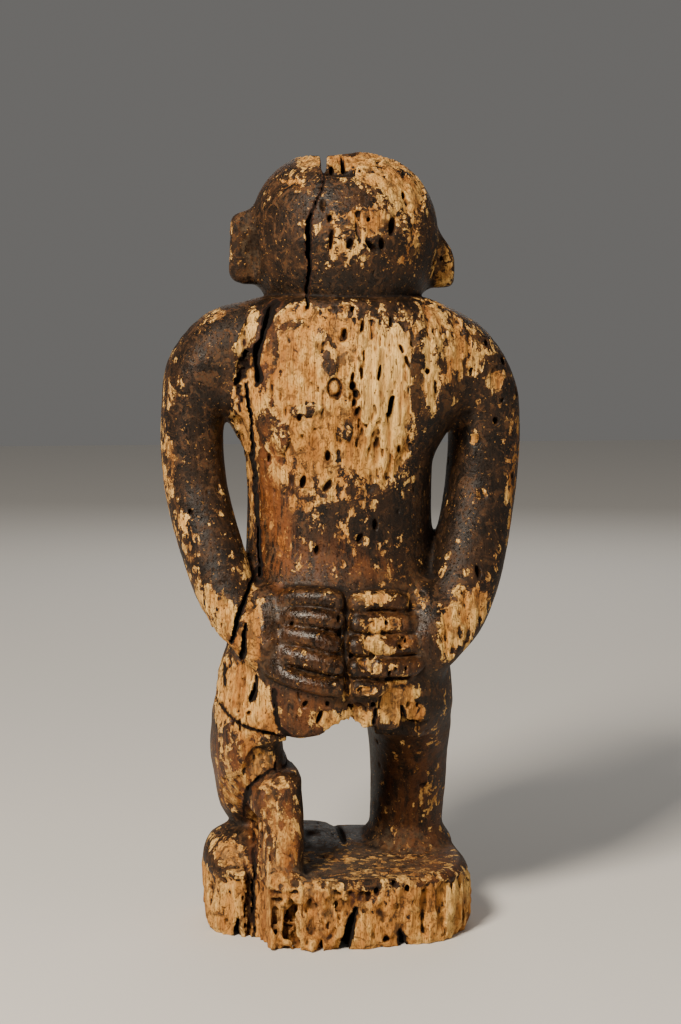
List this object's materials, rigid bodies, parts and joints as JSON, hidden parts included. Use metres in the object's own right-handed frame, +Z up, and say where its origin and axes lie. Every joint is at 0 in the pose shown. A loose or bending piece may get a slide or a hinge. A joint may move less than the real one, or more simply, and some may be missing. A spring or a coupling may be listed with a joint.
{
  "type": "carved wooden figure",
  "caption": "Standing figure carved from one log with its base, hands laid flat on its lower back, cracked, worn and worm-eaten.",
  "frame": {"origin": "on the ground, under the middle of the figure's bounding box", "axes": "+Z up from the underside of the base to the crown, +Y the way the figure faces, +X to the figure's left"},
  "size_m": [0.1804, 0.1222, 0.389],
  "materials": {
    "aged_wood": "dark handled patina, half polished, worn through to dry straw-coloured wood with open grain, cracks and insect holes"
  },
  "bodies": {
    "root": {"figure": "aged_wood"}
  },
  "joints": []
}
